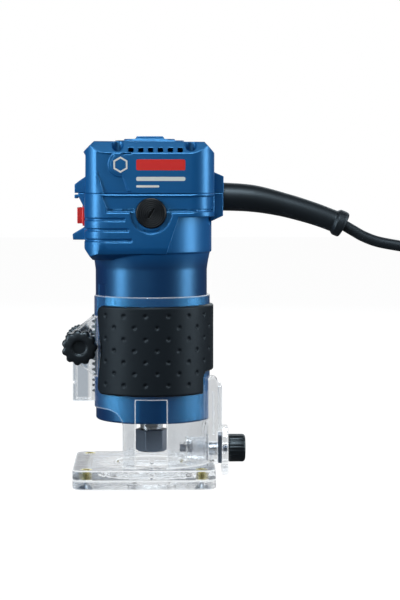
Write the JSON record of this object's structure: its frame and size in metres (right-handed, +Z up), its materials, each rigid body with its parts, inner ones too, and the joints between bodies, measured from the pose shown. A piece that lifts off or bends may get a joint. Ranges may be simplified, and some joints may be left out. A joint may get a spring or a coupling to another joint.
{
  "type": "trim router",
  "caption": "Compact trim router: a cylindrical motor unit with a side switch and cord, clamped in a clear base with a rack and pinion depth wheel, a soft grip and a guide knob.",
  "frame": {"origin": "spindle axis at the underside of the sub-base", "axes": "+Z up along the spindle, -Y the front with the name panel, +X the cord side"},
  "size_m": [0.2029, 0.08, 0.2012],
  "materials": {
    "clear_plastic": "clear polycarbonate, polished",
    "blue_plastic": "fine satin moulded texture",
    "grip_rubber": "satin soft grip",
    "cord_rubber": "satin",
    "black_plastic": "satin moulded",
    "red_plastic": "semi gloss",
    "brass": "machined",
    "steel": "turned and ground",
    "dark_steel": "blackened",
    "copper": "lacquered winding",
    "laminations": "stacked sheet",
    "carbon": "dull graphite",
    "capacitor_case": "dipped",
    "wire_insulation": "satin"
  },
  "bodies": {
    "base": {"base_body": "clear_plastic", "sub_base": "clear_plastic", "sub_base_screws": "steel", "threaded_inserts": "brass", "grip_sleeve": "grip_rubber", "guide_bracket": "clear_plastic", "guide_plate": "dark_steel", "guide_insert": "steel"},
    "clamp_carriage": {"clamp_washer": "steel"},
    "clamp_knob": {"clamp_knob": "black_plastic", "clamp_knob_insert": "steel"},
    "depth_pinion": {"pinion_shaft": "steel", "depth_wheel": "black_plastic", "wheel_screw": "steel"},
    "guide_carriage": {"guide_washer": "dark_steel"},
    "guide_knob": {"guide_knob": "black_plastic", "guide_stud": "dark_steel"},
    "motor": {"motor_housing": "blue_plastic", "top_cover": "blue_plastic", "cover_screws": "dark_steel", "depth_rack": "steel", "brush_caps": "black_plastic", "brush_holders": "brass", "brush_springs": "steel", "carbon_brushes": "carbon", "switch_body": "black_plastic", "capacitor": "capacitor_case", "lead_wires": "wire_insulation", "power_cord": "cord_rubber", "cord_boot": "cord_rubber", "cord_clamp": "black_plastic", "cord_clamp_screws": "steel", "field_core": "laminations", "field_coils": "copper", "field_screws": "steel", "fan_baffle": "black_plastic", "bearing_retainer": "steel", "retainer_screws": "dark_steel", "bearing_bush": "grip_rubber", "lower_bearing_outer": "steel", "upper_bearing_outer": "steel"},
    "switch": {"switch_slider": "red_plastic"},
    "rotor": {"spindle": "steel", "armature_core": "laminations", "armature_windings": "copper", "commutator": "copper", "cooling_fan": "black_plastic", "lower_bearing_inner": "steel", "upper_bearing_inner": "steel"},
    "bearing_balls": {"lower_bearing_balls": "steel", "upper_bearing_balls": "steel"},
    "collet": {"collet": "dark_steel"},
    "collet_nut": {"collet_nut": "dark_steel"}
  },
  "joints": [
    {"name": "depth_slide", "type": "slide", "parent": "base", "child": "motor", "axis": [0, 0, 1], "range_m": [-0.01, 0.022]},
    {"name": "pinion_turn", "type": "hinge", "parent": "base", "child": "depth_pinion", "pos_m": [-0.0413, 0, 0.0798], "axis": [0, 1, 0], "range_deg": [-170, 78]},
    {"name": "clamp_travel", "type": "slide", "parent": "base", "child": "clamp_carriage", "axis": [0, -1, 0], "range_m": [0, 0.0016]},
    {"name": "clamp_turn", "type": "hinge", "parent": "clamp_carriage", "child": "clamp_knob", "pos_m": [-0.0413, -0.02, 0.0798], "axis": [0, -1, 0], "range_deg": [0, 540]},
    {"name": "guide_travel", "type": "slide", "parent": "base", "child": "guide_carriage", "axis": [1, 0, 0], "range_m": [0, 0.0031]},
    {"name": "guide_turn", "type": "hinge", "parent": "guide_carriage", "child": "guide_knob", "pos_m": [0.05, 0, 0.0185], "axis": [1, 0, 0], "range_deg": [0, 1080]},
    {"name": "switch_slide", "type": "slide", "parent": "motor", "child": "switch", "axis": [0, 0, 1], "range_m": [0, 0.004]},
    {"name": "rotor_spin", "type": "hinge", "parent": "motor", "child": "rotor", "pos_m": [0, 0, 0.1], "axis": [0, 0, 1], "continuous": true},
    {"name": "balls_spin", "type": "hinge", "parent": "motor", "child": "bearing_balls", "pos_m": [0, 0, 0.1], "axis": [0, 0, 1], "continuous": true},
    {"name": "collet_travel", "type": "slide", "parent": "rotor", "child": "collet", "axis": [0, 0, -1], "range_m": [0, 0.0016]},
    {"name": "nut_turn", "type": "hinge", "parent": "collet", "child": "collet_nut", "pos_m": [0, 0, 0.0235], "axis": [0, 0, -1], "range_deg": [0, 540]}
  ],
  "couplings": [
    {"joint": "pinion_turn", "follows": "depth_slide", "rad_per_m": -133.33},
    {"joint": "clamp_travel", "follows": "clamp_turn", "m_per_rad": 0.00015915},
    {"joint": "guide_travel", "follows": "guide_turn", "m_per_rad": 0.00015915},
    {"joint": "balls_spin", "follows": "rotor_spin", "ratio": 0.375},
    {"joint": "collet_travel", "follows": "nut_turn", "m_per_rad": 0.00015915}
  ]
}
